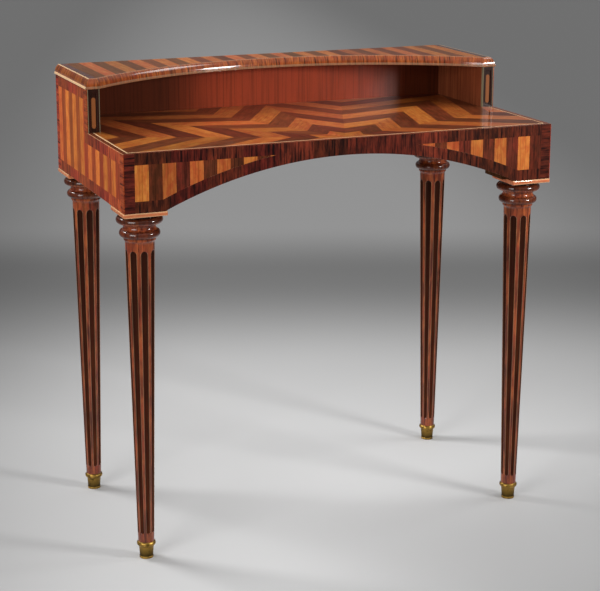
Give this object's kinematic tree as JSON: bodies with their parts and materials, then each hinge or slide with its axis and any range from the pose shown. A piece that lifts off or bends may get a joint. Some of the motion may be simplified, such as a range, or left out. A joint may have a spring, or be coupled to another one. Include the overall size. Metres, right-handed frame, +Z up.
{
  "type": "writing table",
  "caption": "Small writing table on fluted tapering legs, with an arched knee opening, star and stripe parquetry, and an open gallery under a hollow-fronted shelf at the back.",
  "frame": {"origin": "on the floor, under the middle of the case", "axes": "+Z up, +Y to the back, so the sitter faces +Y, and +X to the sitter's right"},
  "size_m": [0.82, 0.442, 0.838],
  "materials": {
    "carcase": "stained oak ground, polished where it shows",
    "gallery_veneer": "red-brown veneer, French polished",
    "pilaster_wood": "dark wood, French polished",
    "secondary_wood": "plain pine and beech, unfinished",
    "moulding_wood": "solid mahogany, French polished",
    "crossbanding": "streaked red-brown veneer, cross grain, French polished",
    "light_veneer": "golden veneer, French polished",
    "dark_veneer": "dark brown veneer, French polished",
    "stringing": "pale wood line",
    "turned_wood": "turned mahogany, French polished",
    "sabot_brass": "aged cast brass",
    "screw_steel": "plain steel"
  },
  "bodies": {
    "root": {"front_apron": "carcase", "left_end": "carcase", "right_end": "carcase", "back_board": "carcase", "writing_board": "carcase", "shelf_board": "carcase", "gallery_panel": "gallery_veneer", "left_pilaster": "pilaster_wood", "right_pilaster": "pilaster_wood", "left_cleat": "secondary_wood", "right_cleat": "secondary_wood", "rear_cleat": "secondary_wood", "shelf_dowels": "secondary_wood", "front_left_corner_block": "secondary_wood", "front_right_corner_block": "secondary_wood", "rear_left_corner_block": "secondary_wood", "rear_right_corner_block": "secondary_wood", "shelf_left_moulding": "moulding_wood", "shelf_right_moulding": "moulding_wood", "shelf_front_moulding": "moulding_wood", "front_crossbanding": "crossbanding", "shelf_crossbanding": "crossbanding", "left_end_crossbanding": "crossbanding", "right_end_crossbanding": "crossbanding", "front_strips_light": "light_veneer", "shelf_strips_light": "light_veneer", "writing_star_light": "light_veneer", "left_end_strips_light": "light_veneer", "right_end_strips_light": "light_veneer", "front_strips_dark": "dark_veneer", "shelf_strips_dark": "dark_veneer", "writing_star_dark": "dark_veneer", "left_end_strips_dark": "dark_veneer", "right_end_strips_dark": "dark_veneer", "writing_stringing": "stringing", "front_left_leg": "turned_wood", "front_left_plate": "turned_wood", "front_right_leg": "turned_wood", "front_right_plate": "turned_wood", "rear_left_leg": "turned_wood", "rear_left_plate": "turned_wood", "rear_right_leg": "turned_wood", "rear_right_plate": "turned_wood", "front_left_sabot": "sabot_brass", "front_right_sabot": "sabot_brass", "rear_left_sabot": "sabot_brass", "rear_right_sabot": "sabot_brass", "cleat_screws": "screw_steel"}
  },
  "joints": []
}
